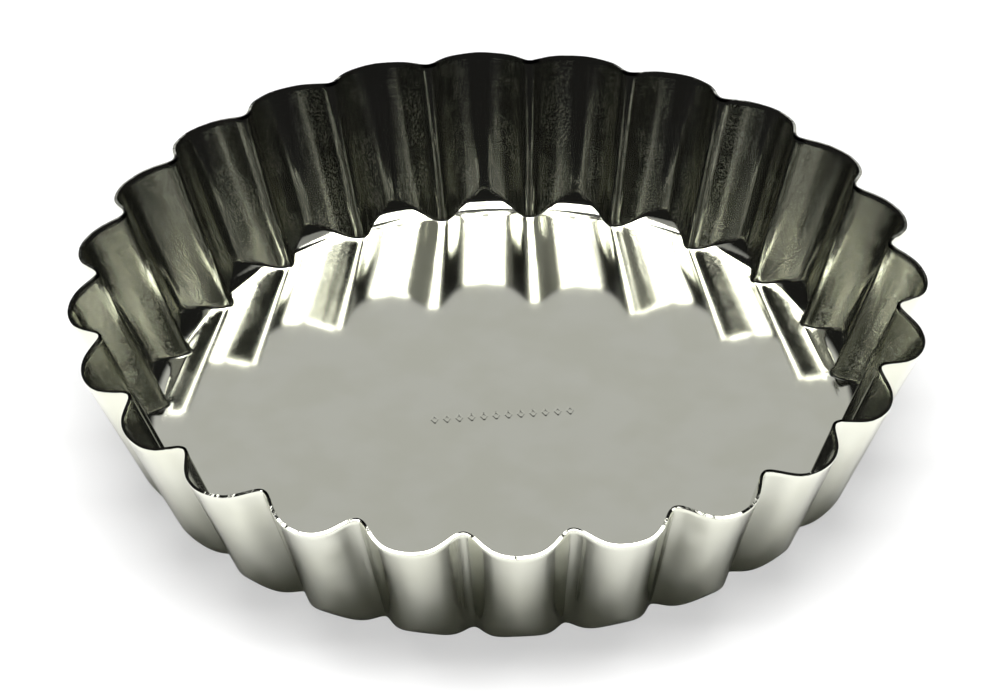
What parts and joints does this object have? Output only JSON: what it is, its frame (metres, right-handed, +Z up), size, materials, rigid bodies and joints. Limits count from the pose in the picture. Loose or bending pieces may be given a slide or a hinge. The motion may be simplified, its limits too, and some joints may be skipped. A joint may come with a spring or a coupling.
{
  "type": "fluted tartlet pan",
  "caption": "Round shallow baking pan pressed from one sheet of tinplate, with a flat floor and a flared, fluted wall ending in a raw-cut rim.",
  "frame": {"origin": "centre of the flat underside, on the pan's axis", "axes": "+Z up along the pan's axis, out of its mouth; one outward flute points along +X"},
  "size_m": [0.1, 0.1, 0.0191],
  "materials": {
    "tinplate": "bright tinplate: nearly mirror-like floor, fine draw lines and a slight mottle down the flutes"
  },
  "bodies": {
    "root": {"fluted_pan": "tinplate"}
  },
  "joints": []
}
